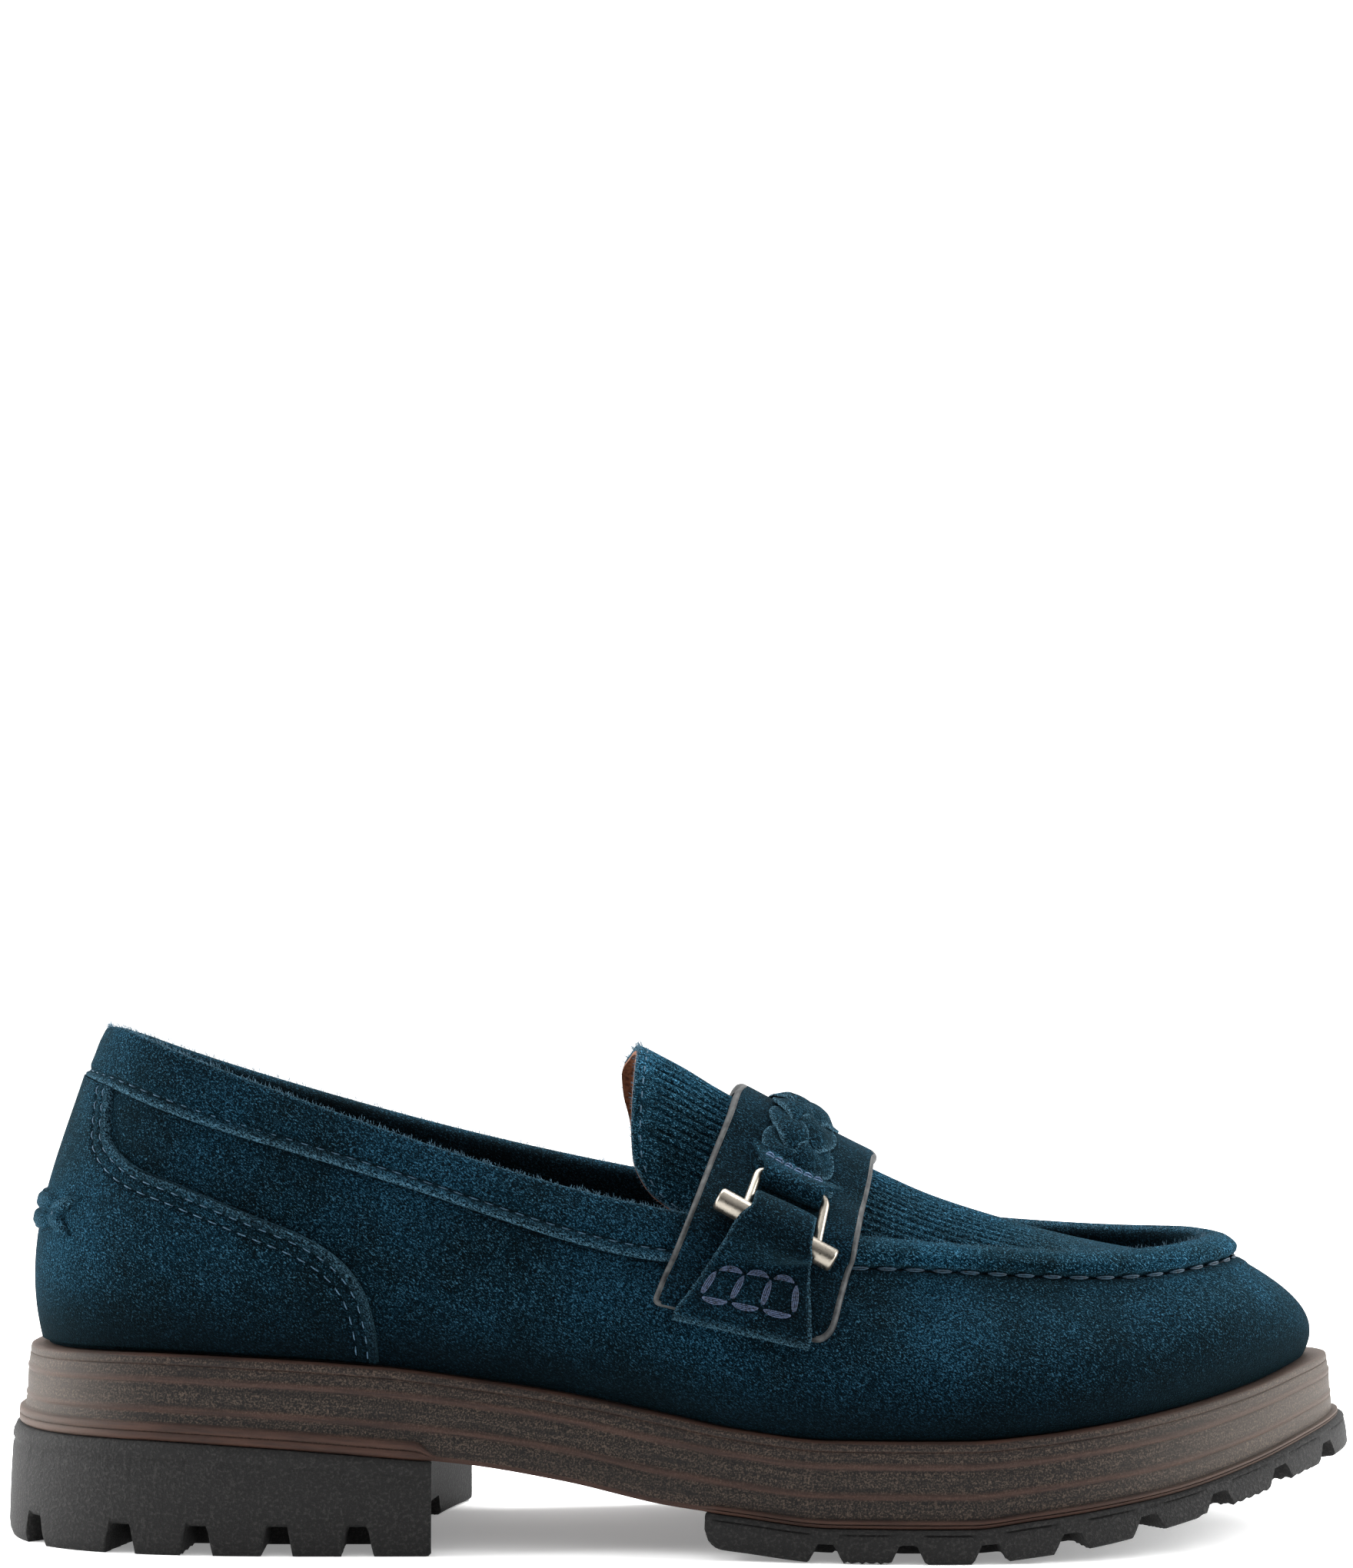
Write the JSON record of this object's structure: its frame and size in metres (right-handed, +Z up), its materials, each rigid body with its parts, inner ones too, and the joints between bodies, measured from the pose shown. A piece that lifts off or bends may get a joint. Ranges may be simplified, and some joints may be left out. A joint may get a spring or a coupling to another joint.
{
  "type": "lug sole loafer",
  "caption": "Suede slip-on loafer with a moccasin apron, a braided saddle strap held by metal toggles, a stacked-look midsole and a lugged rubber heel and forefoot.",
  "frame": {"origin": "on the floor, under the middle of the shoe's bounding box", "axes": "+X to the toe, +Y to the inner side of the foot, +Z up"},
  "size_m": [0.2812, 0.0951, 0.1047],
  "materials": {
    "brown_midsole": "matt, stacked-leather look",
    "black_heel_rubber": "matt",
    "black_tread_rubber": "matt",
    "tan_insole": "matt",
    "teal_suede": "suede",
    "tongue_suede": "suede",
    "binding_suede": "suede",
    "overlay_suede": "suede",
    "heel_tab_suede": "suede",
    "strap_suede": "suede with a painted edge",
    "braid_suede": "suede",
    "strap_tab_suede": "suede",
    "satin_nickel": "satin nickel"
  },
  "bodies": {
    "root": {"midsole": "brown_midsole", "heel_block": "black_heel_rubber", "forefoot_outsole": "black_tread_rubber", "insole": "tan_insole", "upper": "teal_suede", "tongue": "tongue_suede", "collar_binding": "binding_suede", "heel_counter": "overlay_suede", "heel_tab": "heel_tab_suede", "saddle_strap": "strap_suede", "braid": "braid_suede", "strap_tab_lateral": "strap_tab_suede", "strap_tab_medial": "strap_tab_suede", "toggle_lateral": "satin_nickel", "toggle_medial": "satin_nickel"}
  },
  "joints": []
}
